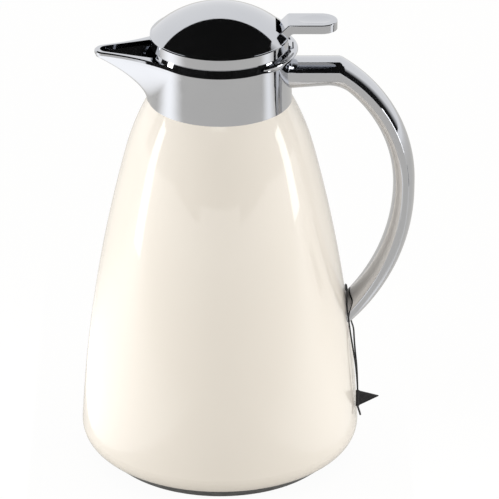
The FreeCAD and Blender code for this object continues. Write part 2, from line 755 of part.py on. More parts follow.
def handle_sides(inset):
    """The outer and inner long sides of the handle, the outer one moved inwards."""
    outer = loop_line(
        HANDLE_REACH - inset,
        HANDLE_UPPER_RADIUS - inset,
        HANDLE_LOWER_RADIUS - inset,
        HANDLE_STRAIGHT,
        HANDLE_TOP_Z - inset,
        0,
        HANDLE_OUTER_BEND - inset,
    )
    inner = loop_line(
        HANDLE_REACH - HANDLE_GRIP_DEPTH,
        HANDLE_INNER_UPPER_RADIUS,
        HANDLE_INNER_LOWER_RADIUS,
        0,
        HANDLE_TOP_Z - HANDLE_ROOT_DEPTH,
        math.radians(HANDLE_UNDERSIDE_SLOPE),
        HANDLE_INNER_BEND,
    )
    return outer, inner


def handle_outline(inset, y):
    """The handle's outline in an upright plane at y, its outer side moved inwards."""
    (outer, outer_root, outer_foot), (inner, inner_root, inner_foot) = handle_sides(inset)
    ends = [line(outer_foot, inner_foot), line(inner_root, outer_root)]
    outline = Part.Wire(Part.__sortEdges__(outer + inner + ends))
    outline.translate(FreeCAD.Vector(0, y, 0))
    return outline


def runs_beside(edge, curves):
    """Whether an edge lies on a flat side of the handle, along one of the profile's curves."""
    middle = edge.valueAt((edge.FirstParameter + edge.LastParameter) / 2)
    if abs(abs(middle.y) - HANDLE_WIDTH / 2) > 1e-6:
        return False
    spot = Part.Vertex(flat(middle.x, middle.z))
    return any(spot.distToShape(curve)[0] < 1e-6 for curve in curves)


def dish(x, top, length, width, depth):
    """A shallow oval thumb hollow, as a solid to cut away."""
    along = ((length / 2) ** 2 + depth**2) / (2 * depth)
    across = ((width / 2) ** 2 + depth**2) / (2 * depth)
    half = length * DISH_CUT
    low = top - depth
    start_z = low + along - math.sqrt(along**2 - half**2)
    start = flat(x - half, start_z)
    end = flat(x + half, start_z)
    axis_start = flat(x - half, low + across)
    axis_end = flat(x + half, low + across)
    edges = [
        arc(start, flat(x, low), end),
        line(end, axis_end),
        line(axis_end, axis_start),
        line(axis_start, start),
    ]
    return Part.Face(Part.Wire(edges)).revolve(axis_start, FreeCAD.Vector(1, 0, 0), 360)


def handle():
    """Loop handle: a flat along the middle of its outer face, a sloping one on each side, round inside."""
    bar = Part.Face(handle_outline(0, -HANDLE_FLAT / 2)).extrude(FreeCAD.Vector(0, HANDLE_FLAT, 0))
    for side in (-1, 1):
        middle = handle_outline(0, side * HANDLE_FLAT / 2)
        beside = handle_outline(HANDLE_CROWN, side * HANDLE_WIDTH / 2)
        bar = bar.fuse(Part.makeLoft([middle, beside], True, True))
    bar = bar.removeSplitter()
    outer_edge, inner_edge = [side[0] for side in handle_sides(HANDLE_CROWN)]
    bar = bar.makeFillet(HANDLE_INNER_ROUND, [e for e in bar.Edges if runs_beside(e, inner_edge)])
    bar = bar.makeFillet(HANDLE_EDGE, [e for e in bar.Edges if runs_beside(e, outer_edge)])
    wall = Part.makeCone(NECK_RADIUS + FIT, COLLAR_TOP_RADIUS + FIT, COLLAR_HEIGHT, UP * NECK_Z)
    return bar.cut([wall, body_solid(FIT), top_screws(FIT), foot_screw(FIT)])


def screw(radius, head, head_height, length, seat, heading, room):
    """A plain screw whose head bears on seat; room is added all round for its hole."""
    shank = rod(radius + room, seat, seat + heading * (length + room))
    cap = rod(head + room, seat - heading * head_height, seat)
    return shank.fuse(cap)


def top_screws(room):
    """The two screws that hold the handle from inside the collar."""
    heading = FreeCAD.Vector(1, 0, 0)
    screws = []
    for side in (-1, 1):
        seat = FreeCAD.Vector(COLLAR_BORE + FIT, side * TOP_SCREW_Y, TOP_SCREW_Z)
        screws.append(
            screw(SCREW_RADIUS, SCREW_HEAD, SCREW_HEAD_HEIGHT, TOP_SCREW_LENGTH, seat, heading, room)
        )
    return Part.makeCompound(screws)


def foot_screw(room):
    """The screw that holds the handle's foot from inside the shell, square to its wall."""
    outer, inner = handle_sides(0)
    z = (outer[2].z + inner[2].z) / 2 + FOOT_SCREW_LIFT
    skin = flat(body_radius_at(z), z)
    heading = (skin - SIDE_CENTRE) / SIDE_RADIUS
    seat = skin - heading * (SHELL_WALL + FIT)
    return screw(SCREW_RADIUS, SCREW_HEAD, SCREW_HEAD_HEIGHT, FOOT_SCREW_LENGTH, seat, heading, room)


# Lid

def notch():
    """The gap at the back of the lid through which the lever comes out."""
    half = LEVER_WIDTH / 2 + AIR
    return block((NOTCH_X, -half, LID_FLOOR_TOP), (LID_RADIUS, half, BAND_TOP + DOME_RISE))


def lid_base():
    """Lid band with its floor; the knuckle under its back edge turns on the hinge pin."""
    inner = LID_RADIUS - BAND_WALL
    pan = turned_polygon(
        [
            (STUD_RADIUS + FIT, LID_Z),
            (LID_RADIUS - BAND_EDGE, LID_Z),
            (LID_RADIUS, LID_Z + BAND_EDGE),
            (LID_RADIUS, BAND_TOP - BAND_EDGE / 2),
            (LID_RADIUS - BAND_EDGE / 2, BAND_TOP),
            (inner, BAND_TOP),
            (inner, LID_FLOOR_TOP),
            (STUD_RADIUS + FIT, LID_FLOOR_TOP),
        ]
    )
    behind = block((HINGE_X - AIR, -LID_RADIUS, LID_Z), (2 * LID_RADIUS, LID_RADIUS, BAND_TOP))
    web = block(
        (HINGE_X - 2 * KNUCKLE_RADIUS, -KNUCKLE_HALF, HINGE_Z), (HINGE_X, KNUCKLE_HALF, LID_FLOOR_TOP)
    )
    knuckle = pin_along_hinge(KNUCKLE_RADIUS, KNUCKLE_HALF)
    base = pan.cut([behind, notch()]).fuse([web, knuckle])
    return base.cut([pin_along_hinge(PIN_RADIUS + RUNNING, LID_RADIUS), lever_screws(FIT)]).removeSplitter()


def dome_ball(inset):
    return Part.makeSphere(DOME_SPHERE - inset, UP * DOME_CENTRE_Z)


def stud_hole():
    return rod(STUD_RADIUS + FIT, UP * (LID_Z - STUD_BELOW - FIT), UP * (LID_FLOOR_TOP + STUD_ABOVE + FIT))


def lid_dome():
    """Spun cap on the lid band, with the boss for the stud inside."""
    above = ring(0, LID_RADIUS, BAND_TOP, BAND_TOP + 2 * DOME_RISE)
    cap = dome_ball(0).cut(dome_ball(DOME_WALL)).common(above)
    boss = ring(0, DOME_BOSS, LID_FLOOR_TOP, BAND_TOP + DOME_RISE - DOME_WALL / 2)
    return cap.fuse(boss).cut([notch(), stud_hole()])


def lid_stud():
    return rod(STUD_RADIUS, UP * (LID_Z - STUD_BELOW), UP * (LID_FLOOR_TOP + STUD_ABOVE))


def lid_insulation():
    """Foam pad that fills the dome round the boss and the lever's tongue."""
    pad = ring(DOME_BOSS + FIT, LID_RADIUS - BAND_WALL - FIT, LID_FLOOR_TOP, BAND_TOP + DOME_RISE)
    half = LEVER_WIDTH / 2 + AIR
    lever_room = block(
        (TONGUE_START - AIR, -half, LID_FLOOR_TOP), (LID_RADIUS, half, BAND_TOP + DOME_RISE)
    )
    return pad.common(dome_ball(DOME_WALL + FIT)).cut(lever_room)


def stopper():
    """Hollow plug under the lid; its post screws onto the stud."""
    seal_top = SEAL_Z + SEAL_HEIGHT
    plug = turned_polygon(
        [
            (0, STOPPER_BOTTOM),
            (STOPPER_RADIUS - STOPPER_WALL / 2, STOPPER_BOTTOM),
            (STOPPER_RADIUS, STOPPER_BOTTOM + STOPPER_WALL / 2),
            (STOPPER_RADIUS, seal_top + STOPPER_WALL),
            (STOPPER_TOP_RADIUS, LID_Z - STOPPER_RIM),
            (STOPPER_TOP_RADIUS, LID_Z),
            (0, LID_Z),
        ]
    )
    groove = ring(STOPPER_RADIUS - SEAL_DEPTH, MOUTH_RADIUS, SEAL_Z, seal_top)
    return plug.cut([groove, stopper_hollow(0), stud_hole()])


def stopper_hollow(inset):
    """The space inside the stopper, round its post."""
    post = DOME_BOSS + inset
    waist = STOPPER_RADIUS - SEAL_DEPTH - STOPPER_WALL - inset
    wide = STOPPER_TOP_RADIUS - STOPPER_WALL - inset
    bottom = STOPPER_BOTTOM + STOPPER_WALL + inset
    return turned_polygon(
        [
            (post, bottom),
            (waist, bottom),
            (waist, SEAL_Z + SEAL_HEIGHT + STOPPER_WALL),
            (wide, LID_Z - STOPPER_RIM + inset),
            (wide, LID_Z - inset),
            (post, LID_Z - inset),
        ]
    )


def stopper_foam():
    return stopper_hollow(FIT)


def lid_seal():
    """Soft lip seal in the stopper's groove, just clear of the funnel's mouth."""
    inner = STOPPER_RADIUS - SEAL_DEPTH + FIT
    lip = MOUTH_RADIUS - AIR
    low = SEAL_Z + FIT
    high = SEAL_Z + SEAL_HEIGHT - FIT
    return turned_polygon(
        [(inner, low), (STOPPER_RADIUS, low), (lip, low + FIT), (lip, low + SEAL_LIP), (inner, high)]
    )


# Thumb lever

def thumb_lever():
    """Bent flat lever: tongue on the lid floor, sloping shank and paddle with a thumb hollow."""
    paddle_under = PADDLE_TOP - LEVER_THICKNESS
    tongue_top = LID_FLOOR_TOP + TONGUE_THICKNESS
    slant = LEVER_THICKNESS * math.sqrt(2)
    # The shank rises at 45 degrees, so its run equals its rise
    corners = [
        flat(PADDLE_END, PADDLE_TOP),
        flat(PADDLE_START, PADDLE_TOP),
        flat(PADDLE_START - (PADDLE_TOP - tongue_top), tongue_top),
        flat(TONGUE_START, tongue_top),
        flat(TONGUE_START, LID_FLOOR_TOP),
        flat(PADDLE_START - (PADDLE_TOP - LID_FLOOR_TOP) + slant, LID_FLOOR_TOP),
        flat(PADDLE_START - LEVER_THICKNESS + slant, paddle_under),
        flat(PADDLE_END, paddle_under),
    ]
    half = LEVER_WIDTH / 2
    side = Part.Face(Part.makePolygon(corners + corners[:1]))
    side.translate(FreeCAD.Vector(0, -half, 0))
    bar = side.extrude(FreeCAD.Vector(0, LEVER_WIDTH, 0))
    bar = bar.makeFillet(LEVER_BEND, [e for e in bar.Edges if is_lever_bend(e, paddle_under)])
    nose_x = PADDLE_END - half
    plan = block((0, -half, LID_Z), (nose_x, half, PADDLE_TOP))
    plan = plan.fuse(rod(half, flat(nose_x, LID_Z), flat(nose_x, PADDLE_TOP)))
    bar = bar.common(plan).removeSplitter()
    rim = [e for e in bar.Edges if is_paddle_rim(e)]
    bar = bar.makeFillet(LEVER_EDGE, rim)
    hollow = dish(
        nose_x - LEVER_DISH_SHIFT, PADDLE_TOP, LEVER_DISH_LENGTH, LEVER_DISH_WIDTH, LEVER_DISH_DEPTH
    )
    return bar.cut([hollow, lever_screws(FIT)])


def is_lever_bend(edge, paddle_under):
    """Whether an edge is one of the two cross edges where the shank meets the paddle."""
    box = edge.BoundBox
    crosses = box.ZLength < 1e-6 and box.YLength > LEVER_WIDTH / 2
    at_paddle = abs(box.ZMax - PADDLE_TOP) < 1e-6 or abs(box.ZMax - paddle_under) < 1e-6
    return crosses and at_paddle and box.XMax < PADDLE_END - LEVER_WIDTH / 2


def is_paddle_rim(edge):
    """Whether an edge runs along the outline of the paddle's top face."""
    box = edge.BoundBox
    on_top = box.ZMin > PADDLE_TOP - 1e-6
    return on_top and (box.YLength < 1e-6 or box.XMax > PADDLE_END - LEVER_WIDTH / 2)


def lever_screws(room):
    """The two screws that hold the lever's tongue from under the lid floor."""
    length = LID_FLOOR + TONGUE_THICKNESS - LEVER_SCREW_SHORT
    screws = []
    for side in (-1, 1):
        seat = FreeCAD.Vector(LEVER_SCREW_X, side * LEVER_SCREW_Y, LID_Z)
        screws.append(
            screw(LEVER_SCREW_RADIUS, LEVER_SCREW_HEAD, LEVER_SCREW_HEAD_HEIGHT, length, seat, UP, room)
        )
    return Part.makeCompound(screws)


# Tag

def foot_height(reach, lower, middle):
    """The height at which a lower arc of the handle, round a hub at a middle height, meets the body's skin."""
    z = middle - lower / 2
    for step in range(12):
        z = middle - math.sqrt(lower**2 - (body_radius_at(z) - reach + lower) ** 2)
    return z


UNDER_FOOT_Z = foot_height(HANDLE_REACH, HANDLE_LOWER_RADIUS, HANDLE_MID_Z - HANDLE_STRAIGHT)
OVER_FOOT_Z = foot_height(HANDLE_REACH - HANDLE_GRIP_DEPTH, HANDLE_INNER_LOWER_RADIUS, HANDLE_MID_Z)
HEM_TOP = UNDER_FOOT_Z - TAG_DROP
HEM_BOTTOM = HEM_TOP - HEM_HEIGHT
STRING_SIDE = HANDLE_WIDTH / 2 + STRING_BESIDE
TAG_Y = -STRING_SIDE - STRAND_HALF_GAP


def off_skin(y, z, clear):
    """A point beside the body, a distance off its skin."""
    return FreeCAD.Vector(math.sqrt((body_radius_at(z) + clear) ** 2 - y**2), y, z)


TAG_X = off_skin(TAG_Y, HEM_BOTTOM, HEM_RADIUS + AIR).x


def string_route():
    """Up the near strand, over the handle's foot close to the body, back under it and down again."""
    near = -STRING_SIDE
    off = STRING_CLEAR
    foot = OVER_FOOT_Z - UNDER_FOOT_Z
    return [
        FreeCAD.Vector(TAG_X, TAG_Y - STRAND_HALF_GAP, HEM_TOP),
        off_skin(TAG_Y - STRAND_HALF_GAP, HEM_TOP + STRAND_JOIN, 2.2 * off),
        off_skin(TAG_Y, HEM_TOP + STRAND_SPREAD, 1.5 * off),
        off_skin(near, UNDER_FOOT_Z - off, off),
        off_skin(near, UNDER_FOOT_Z + foot * 0.4, off),
        off_skin(near, UNDER_FOOT_Z + foot * 0.8, off),
        off_skin(near * 0.8, OVER_FOOT_Z + off, off),
        off_skin(near * 0.3, OVER_FOOT_Z + 2 * off, off),
        off_skin(-near * 0.3, OVER_FOOT_Z + 2 * off, off),
        off_skin(-near * 0.8, OVER_FOOT_Z + off, off),
        off_skin(-near, UNDER_FOOT_Z + foot * 0.8, off),
        off_skin(-near, UNDER_FOOT_Z + foot * 0.4, off),
        off_skin(-near, UNDER_FOOT_Z, off),
        off_skin(-near * 0.7, UNDER_FOOT_Z - 3 * off, off),
        off_skin(-near * 0.2, UNDER_FOOT_Z - 3 * off, off),
        off_skin(near * 0.3, UNDER_FOOT_Z - 3 * off, 2 * off),
        off_skin(near * 0.8, UNDER_FOOT_Z - 6 * off, 2.5 * off),
        off_skin(TAG_Y + 2 * STRAND_HALF_GAP, HEM_TOP + STRAND_SPREAD, 2.4 * off),
        off_skin(TAG_Y + STRAND_HALF_GAP, HEM_TOP + STRAND_JOIN, 2.2 * off),
        FreeCAD.Vector(TAG_X, TAG_Y + STRAND_HALF_GAP, HEM_TOP),
    ]


def tag_string():
    """Thin cord of straight runs joined by tangent arcs."""
    points = string_route()
    edges = []
    bends = []
    at = points[0]
    for before, corner, after in zip(points, points[1:], points[2:]):
        run_in = corner - before
        run_out = after - corner
        setback = STRING_BEND * min(run_in.Length, run_out.Length)
        inward = run_in / run_in.Length
        outward = run_out / run_out.Length
        turn = inward.getAngle(outward)
        aside = (outward - inward) / (outward - inward).Length
        start = corner - inward * setback
        end = corner + outward * setback
        edges.append(line(at, start))
        edges.append(arc(start, corner + aside * setback * math.tan(turn / 4), end))
        bends.append(setback / math.tan(turn / 2))
        at = end
    edges.append(line(at, points[-1]))
    print("string bend radii:", ", ".join(f"{bend:.1f}" for bend in bends))
    section = Part.Wire(Part.makeCircle(STRING_RADIUS, points[0], points[1] - points[0]))
    return Part.Wire(edges).makePipeShell([section], True, False)


def tag_flag():
    """Three-cornered flag with a rolled hem, below which the string's two ends hang out."""
    hem = rod(HEM_RADIUS, flat(TAG_X, HEM_BOTTOM), flat(TAG_X, HEM_TOP))
    corners = [
        flat(TAG_X, HEM_TOP),
        flat(TAG_X + FLAG_LENGTH, HEM_TOP - FLAG_DROP),
        flat(TAG_X, HEM_BOTTOM),
    ]
    cloth = Part.Face(Part.makePolygon(corners + corners[:1]))
    cloth.translate(FreeCAD.Vector(0, -FLAG_THICKNESS / 2, 0))
    flag = hem.fuse(cloth.extrude(FreeCAD.Vector(0, FLAG_THICKNESS, 0)))
    for side in (-STRAND_HALF_GAP, STRAND_HALF_GAP):
        tail = FreeCAD.Vector(TAG_X, side, HEM_BOTTOM)
        flag = flag.fuse(rod(STRING_RADIUS, tail, tail + flat(TAIL_LEAN, -TAIL_LENGTH)))
    flag.translate(FreeCAD.Vector(0, TAG_Y, 0))
    return flag


PIECES = {
    "body_shell": body_shell,
    "base_ring": base_ring,
    "base_plug": base_plug,
    "foot_ring": foot_ring,
    "liner_cushion": liner_cushion,
    "liner_outer_glass": liner_outer_glass,
    "liner_inner_glass": liner_inner_glass,
    "liner_spacers": liner_spacers,
    "neck_gasket": neck_gasket,
    "neck_ring": neck_ring,
    "clamp_nut": clamp_nut,
    "pour_funnel": pour_funnel,
    "collar": collar,
    "hinge_pin": hinge_pin,
    "handle": handle,
    "handle_top_screws": lambda: top_screws(0),
    "handle_foot_screw": lambda: foot_screw(0),
    "lid_base": lid_base,
    "lid_dome": lid_dome,
    "lid_stud": lid_stud,
    "lid_insulation": lid_insulation,
    "stopper": stopper,
    "stopper_foam": stopper_foam,
    "lid_seal": lid_seal,
    "thumb_lever": thumb_lever,
    "lever_screws": lambda: lever_screws(0),
    "tag_string": tag_string,
    "tag_flag": tag_flag,
}

os.makedirs("parts", exist_ok=True)
for name, make in PIECES.items():
    shape = make()
    solids = shape.Solids
    volume = sum(solid.Volume for solid in solids)
    print(f"{name}: {len(solids)} solid(s), {volume:.0f} mm3, valid {shape.isValid()}")
    shape.exportStep(f"parts/{name}.step")
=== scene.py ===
import math

import bmesh
import bpy
from mathutils import Matrix, Vector


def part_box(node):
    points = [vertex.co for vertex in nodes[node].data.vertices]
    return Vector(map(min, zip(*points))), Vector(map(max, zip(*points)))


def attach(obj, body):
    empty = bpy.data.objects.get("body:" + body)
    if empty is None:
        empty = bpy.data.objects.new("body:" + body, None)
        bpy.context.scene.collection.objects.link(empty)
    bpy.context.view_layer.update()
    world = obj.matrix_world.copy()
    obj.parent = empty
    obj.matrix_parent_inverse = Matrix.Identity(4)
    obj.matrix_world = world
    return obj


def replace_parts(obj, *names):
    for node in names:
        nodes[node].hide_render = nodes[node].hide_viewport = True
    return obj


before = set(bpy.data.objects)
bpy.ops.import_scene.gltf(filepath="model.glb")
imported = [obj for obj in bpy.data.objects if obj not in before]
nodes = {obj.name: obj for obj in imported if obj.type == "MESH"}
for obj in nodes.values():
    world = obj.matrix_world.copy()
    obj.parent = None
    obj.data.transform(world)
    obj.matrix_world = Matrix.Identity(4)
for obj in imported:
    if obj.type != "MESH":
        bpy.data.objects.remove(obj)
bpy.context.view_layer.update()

# Studio: a pale paper table, lit a little from below, that runs on into a white room lit from both sides.
# Black cloth hangs round the jug, out of the camera's sight, and thins out on the right; the chrome's black
# shapes are its reflection. Two tall soft boxes, pools of light on the table and a card make the white ones.
scene = bpy.context.scene
scene.view_settings.view_transform = "Standard"
MIDDLE_LIGHT = 0.52
SIDE_LIGHT = 1.88
LEFT_LIGHT = 0.03


def add_node(tree, kind, plain=(), links=()):
    """Adds a node, sets the inputs that are plain values, and links sockets into its other inputs."""
    made = tree.nodes.new("ShaderNode" + kind)
    for socket, value in dict(plain).items():
        made.inputs[socket].default_value = value
    for socket, source in dict(links).items():
        tree.links.new(source, made.inputs[socket])
    return made


def work_out(tree, operation, plain=(), links=()):
    """The result of one step of arithmetic on plain values and sockets."""
    made = add_node(tree, "Math", plain, links)
    made.operation = operation
    return made.outputs[0]


def own_place(tree):
    """A piece's own coordinates."""
    return add_node(tree, "TexCoord").outputs["Object"]


def show_mix(tree, share, first, second, output="Material Output"):
    """Mixes two shaders by the second's share and makes the mix the surface that is seen."""
    mix = add_node(tree, "MixShader", {}, {0: share, 1: first.outputs[0], 2: second.outputs[0]})
    tree.links.new(mix.outputs[0], tree.nodes[output].inputs["Surface"])


def ray_is(tree, *kinds):
    """A value that is 1 for the named kinds of ray."""
    path = add_node(tree, "LightPath")
    either = path.outputs[kinds[0]]
    for kind in kinds[1:]:
        either = work_out(tree, "MAXIMUM", {}, {0: either, 1: path.outputs[kind]})
    return either


room = bpy.data.worlds.new("white_room")
room.use_nodes = True
scene.world = room
room_tree = room.node_tree
room_way = add_node(room_tree, "TexCoord").outputs["Generated"]
room_side = add_node(room_tree, "SeparateXYZ", {}, {0: room_way}).outputs["X"]
room_slope = work_out(room_tree, "MULTIPLY_ADD", {1: SIDE_LIGHT, 2: -LEFT_LIGHT}, {0: room_side})
room_level = work_out(room_tree, "MULTIPLY_ADD", {2: MIDDLE_LIGHT}, {0: room_slope, 1: room_side})
room_light = add_node(room_tree, "Background", {"Color": (1, 1, 1, 1)}, {"Strength": room_level})
room_seen = add_node(room_tree, "Background", {"Color": (1, 1, 1, 1), "Strength": 1.0})
room_rays = ray_is(room_tree, "Is Camera Ray", "Is Glossy Ray", "Is Transmission Ray")
show_mix(room_tree, room_rays, room_light, room_seen, "World Output")


def to_object(name, shape, material):
    """Puts a finished bmesh into the scene as an object of one material."""
    mesh = bpy.data.meshes.new(name)
    shape.to_mesh(mesh)
    shape.free()
    mesh.materials.append(material)
    made = bpy.data.objects.new(name, mesh)
    scene.collection.objects.link(made)
    return made


def studio_sheet(name, corners, material):
    """A flat four-cornered sheet that belongs to the studio."""
    sheet = bmesh.new()
    sheet.faces.new([sheet.verts.new(corner) for corner in corners])
    made = to_object(name, sheet, material)
    return made


PAPER_COLOUR = (0.33, 0.32, 0.3, 1)
PAPER_GLOW = 0.33
PAPER_WHITE = 1.03
PAPER_SEEN_WHITE = 0.9
PAPER_RISE = 0.7
PAPER_END = 3.0
PAPER_HALF = 6
paper = bpy.data.materials.new("floor_paper")
paper.use_nodes = True
paper_tree = paper.node_tree
paper_face = paper_tree.nodes["Principled BSDF"]
paper_face.inputs["Base Color"].default_value = PAPER_COLOUR
paper_face.inputs["Roughness"].default_value = 0.9
paper_face.inputs["Emission Color"].default_value = (1, 0.98, 0.94, 1)
paper_face.inputs["Emission Strength"].default_value = PAPER_GLOW
paper_white = add_node(paper_tree, "Emission", {"Strength": PAPER_WHITE})
paper_reach = add_node(paper_tree, "VectorMath", {}, {0: own_place(paper_tree)})
paper_reach.operation = "LENGTH"
paper_far = add_node(
    paper_tree,
    "MapRange",
    {"From Min": PAPER_RISE, "From Max": PAPER_END},
    {"Value": paper_reach.outputs["Value"]},
)
paper_seen = work_out(paper_tree, "MULTIPLY", {1: PAPER_SEEN_WHITE}, {0: ray_is(paper_tree, "Is Camera Ray")})
paper_share = work_out(paper_tree, "MAXIMUM", {}, {0: paper_seen, 1: paper_far.outputs["Result"]})
show_mix(paper_tree, paper_share, paper_face, paper_white)
studio_sheet(
    "floor",
    [
        (-PAPER_HALF, -PAPER_HALF, 0),
        (PAPER_HALF, -PAPER_HALF, 0),
        (PAPER_HALF, PAPER_HALF, 0),
        (-PAPER_HALF, PAPER_HALF, 0),
    ],
    paper,
)

CLOTH_TOP = 1.25
CLOTH_BACK = 0.8
CLOTH_FRONT = -3.0
CLOTH_FRONT_FOOT = 0.3
CLOTH_SIDE = 1.2
CLOTH_LEFT_BACK = 0.42
CLOTH_RIGHT_BACK = 0.72
CLOTH_SIDE_FOOT = 0.2
CLOTH_HALF = 4
CLOTH_FADE = 0.3
TABLE_CLOTH_LEFT = 0.42
TABLE_CLOTH_RIGHT = 0.7
TABLE_CLOTH_FRONT = 0.06
TABLE_CLOTH_BACK = 0.12
TABLE_CLOTH_Z = 0.002
black_cloth = bpy.data.materials.new("black_cloth")
black_cloth.use_nodes = True
black_cloth_face = black_cloth.node_tree.nodes["Principled BSDF"]
black_cloth_face.inputs["Base Color"].default_value = (0.008, 0.008, 0.008, 1)
black_cloth_face.inputs["Roughness"].default_value = 1.0
black_cloth_face.inputs["Specular IOR Level"].default_value = 0.0
thin_cloth = black_cloth.copy()
thin_cloth.name = "thin_cloth"
thin_tree = thin_cloth.node_tree
thin_along = add_node(thin_tree, "SeparateXYZ", {}, {0: own_place(thin_tree)}).outputs["Y"]
thin_share = add_node(
    thin_tree, "MapRange", {"From Min": CLOTH_FADE, "From Max": CLOTH_RIGHT_BACK}, {"Value": thin_along}
)
thin_face = thin_tree.nodes["Principled BSDF"]
thin_clear = add_node(thin_tree, "BsdfTransparent")
show_mix(thin_tree, thin_share.outputs["Result"], thin_face, thin_clear)
cloths = [
    studio_sheet(
        "cloth_overhead",
        [
            (-CLOTH_HALF, CLOTH_FRONT, CLOTH_TOP),
            (CLOTH_SIDE, CLOTH_FRONT, CLOTH_TOP),
            (CLOTH_SIDE, CLOTH_BACK, CLOTH_TOP),
            (-CLOTH_HALF, CLOTH_BACK, CLOTH_TOP),
        ],
        black_cloth,
    ),
    studio_sheet(
        "cloth_in_front",
        [
            (-CLOTH_HALF, CLOTH_FRONT, CLOTH_FRONT_FOOT),
            (CLOTH_HALF, CLOTH_FRONT, CLOTH_FRONT_FOOT),
            (CLOTH_HALF, CLOTH_FRONT, CLOTH_TOP),
            (-CLOTH_HALF, CLOTH_FRONT, CLOTH_TOP),
        ],
        black_cloth,
    ),
]
for name, side, back, stuff in (
    ("cloth_left", -1, CLOTH_LEFT_BACK, black_cloth),
    ("cloth_right", 1, CLOTH_RIGHT_BACK, thin_cloth),
):
    cloths.append(
        studio_sheet(
            name,
            [
                (side * CLOTH_SIDE, CLOTH_FRONT, CLOTH_SIDE_FOOT),
                (side * CLOTH_SIDE, back, CLOTH_SIDE_FOOT),
                (side * CLOTH_SIDE, back, CLOTH_TOP),
                (side * CLOTH_SIDE, CLOTH_FRONT, CLOTH_TOP),
            ],
            stuff,
        )
    )
cloths.append(
    studio_sheet(
        "cloth_on_table",
        [
            (TABLE_CLOTH_LEFT, TABLE_CLOTH_FRONT, TABLE_CLOTH_Z),
            (TABLE_CLOTH_RIGHT, TABLE_CLOTH_FRONT, TABLE_CLOTH_Z),
            (TABLE_CLOTH_RIGHT, TABLE_CLOTH_BACK, TABLE_CLOTH_Z),
            (TABLE_CLOTH_LEFT, TABLE_CLOTH_BACK, TABLE_CLOTH_Z),
        ],
        black_cloth,
    )
)
for cloth in cloths:
    cloth.visible_camera = False
    cloth.visible_diffuse = False
    cloth.visible_shadow = False


def soft_box(name, corners, across, level, soft):
    """A lit card whose light fades out towards its two edges along one axis, X or Y."""
    glow = bpy.data.materials.new(name + "_glow")
    glow.use_nodes = True
    tree = glow.node_tree
    low = min(corner["XYZ".index(across)] for corner in corners)
    high = max(corner["XYZ".index(across)] for corner in corners)
    along = add_node(tree, "SeparateXYZ", {}, {0: own_place(tree)}).outputs[across]
    centred = work_out(tree, "SUBTRACT", {1: (low + high) / 2}, {0: along})
    aside = work_out(tree, "ABSOLUTE", {}, {0: centred})
    half = (high - low) / 2
    share = add_node(tree, "MapRange", {"From Min": half, "From Max": half - soft}, {"Value": aside})
    share.interpolation_type = "SMOOTHSTEP"
    lit = add_node(tree, "Emission", {"Strength": level})
    clear = add_node(tree, "BsdfTransparent")
    show_mix(tree, share.outputs["Result"], clear, lit)
    card = studio_sheet(name, corners, glow)
    card.visible_camera = False
    card.visible_shadow = False
    return card


BOX_X = 0.6
BOX_FRONT = -0.1
BOX_BACK = 0.025
BOX_SOFT = 0.01
for name, side, foot, top, level in (
    ("left_soft_box", -1, 0.04, 0.36, 4.8),
    ("right_soft_box", 1, 0.085, 0.34, 4.8),
):
    soft_box(
        name,
        [
            (side * BOX_X, BOX_FRONT, foot),
            (side * BOX_X, BOX_BACK, foot),
            (side * BOX_X, BOX_BACK, top),
            (side * BOX_X, BOX_FRONT, top),
        ],
        "Y",
        level,
        BOX_SOFT,
    )
POOL_Z = 0.001
POOL_NEAR = 0.1
POOL_FAR = 2.0
for name, side, front, back, level in (
    ("left_pool", -1, -0.34, 0.27, 1.5),
    ("right_pool", 1, -0.24, 0.08, 1.2),
):
    soft_box(
        name,
        [
            (side * POOL_NEAR, front, POOL_Z),
            (side * POOL_FAR, front, POOL_Z),
            (side * POOL_FAR, back, POOL_Z),
            (side * POOL_NEAR, back, POOL_Z),
        ],
        "Y",
        level,
        (back - front) / 2,
    )
CARD_LEFT = -0.06
CARD_RIGHT = 0.045
CARD_Y = -0.25
CARD_FOOT = 0.33
CARD_TOP = 0.65
CARD_LEVEL = 1.5
CARD_SOFT = 0.004
gap_card = soft_box(
    "gap_card",
    [
        (CARD_LEFT, CARD_Y, CARD_FOOT),
        (CARD_RIGHT, CARD_Y, CARD_FOOT),
        (CARD_RIGHT, CARD_Y, CARD_TOP),
        (CARD_LEFT, CARD_Y, CARD_TOP),
    ],
    "X",
    CARD_LEVEL,
    CARD_SOFT,
)
gap_card.visible_diffuse = False

# The camera stands two metres off, in front of the jug, and looks down at it along +Y.
# The spout is on its left and the handle on its right; the shift puts the jug left of the middle.
CAMERA_DISTANCE = 2.0
CAMERA_TARGET_Z = 0.1136
CAMERA_TILT = math.radians(26.1)
CAMERA_LENS = 278.9
CAMERA_SENSOR = 36.0
CAMERA_SHIFT = 0.0591
camera_lens = bpy.data.cameras.new("jug_camera")
camera_lens.lens = CAMERA_LENS
camera_lens.sensor_width = CAMERA_SENSOR
camera_lens.shift_x = CAMERA_SHIFT
camera = bpy.data.objects.new("jug_camera", camera_lens)
camera.location = (
    0,
    -CAMERA_DISTANCE * math.cos(CAMERA_TILT),
    CAMERA_TARGET_Z + CAMERA_DISTANCE * math.sin(CAMERA_TILT),
)
camera.rotation_euler = (math.pi / 2 - CAMERA_TILT, 0, 0)
scene.collection.objects.link(camera)
scene.camera = camera

# Body shell: a drawn metal skin, sprayed with cream lacquer under a hard clear coat.
# The spray leaves a very fine orange peel, and the colour lies a little thicker in some places.
NOISE_LOW = 0.3
NOISE_HIGH = 0.7


def new_finish(name, plain):
    """A new material, its node tree and its shader; what is the same all over is set on the shader."""
    material = bpy.data.materials.new(name)
    material.use_nodes = True
    face = material.node_tree.nodes["Principled BSDF"]
    for socket, value in plain.items():
        face.inputs[socket].default_value = value
    return material, material.node_tree, face


